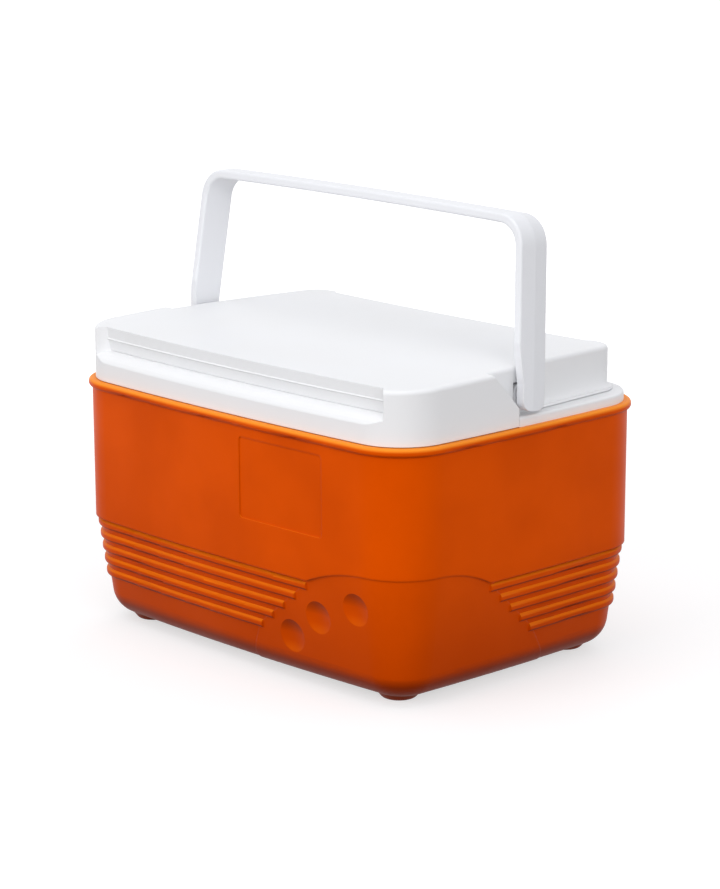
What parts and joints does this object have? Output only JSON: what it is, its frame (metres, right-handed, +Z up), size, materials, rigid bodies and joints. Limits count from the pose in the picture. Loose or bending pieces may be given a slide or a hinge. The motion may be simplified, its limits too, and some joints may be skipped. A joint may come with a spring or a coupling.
{
  "type": "vaccine carrier",
  "caption": "Insulated box with a lift-off lid and a folding bail handle, for carrying vaccines on ice packs.",
  "frame": {"origin": "on the floor, under the middle of the box's outline", "axes": "+Z up, +X along the long side to the right seen from the front, +Y to the rear, where the handle folds"},
  "size_m": [0.3064, 0.2232, 0.2814],
  "materials": {
    "shell": "moulded polyethylene with a satin sheen",
    "collar": "white moulded polyethylene, satin",
    "lid": "white moulded polyethylene, satin",
    "handle": "white moulded polypropylene, smooth",
    "liner": "white moulded liner, smooth",
    "foam": "rigid polyurethane foam",
    "seal": "soft grey gasket",
    "pin": "plain steel",
    "pack": "pale blue blow-moulded bottle filled with water",
    "pack_cap": "white screw cap",
    "pad": "soft light grey foam"
  },
  "bodies": {
    "carrier": {"body_insulation": "foam", "ice_pack_cap_front": "pack_cap", "ice_pack_cap_left": "pack_cap", "ice_pack_cap_rear": "pack_cap", "ice_pack_cap_right": "pack_cap", "ice_pack_front": "pack", "ice_pack_left": "pack", "ice_pack_rear": "pack", "ice_pack_right": "pack", "inner_liner": "liner", "outer_shell": "shell", "top_collar": "collar", "vial_pad": "pad"},
    "lid": {"lid_shell": "lid", "lid_pan": "liner", "lid_insulation": "foam", "lid_seal": "seal"},
    "handle": {"handle": "handle", "pivot_pin_left": "pin", "pivot_pin_right": "pin"}
  },
  "joints": [
    {"name": "handle_pivot", "type": "hinge", "parent": "carrier", "child": "handle", "pos_m": [0, 0.0022, 0.1755], "axis": [-1, 0, 0], "range_deg": [0, 84]},
    {"name": "lid_lift", "type": "slide", "parent": "carrier", "child": "lid", "axis": [0, 0, 1], "range_m": [0, 0.03]}
  ]
}
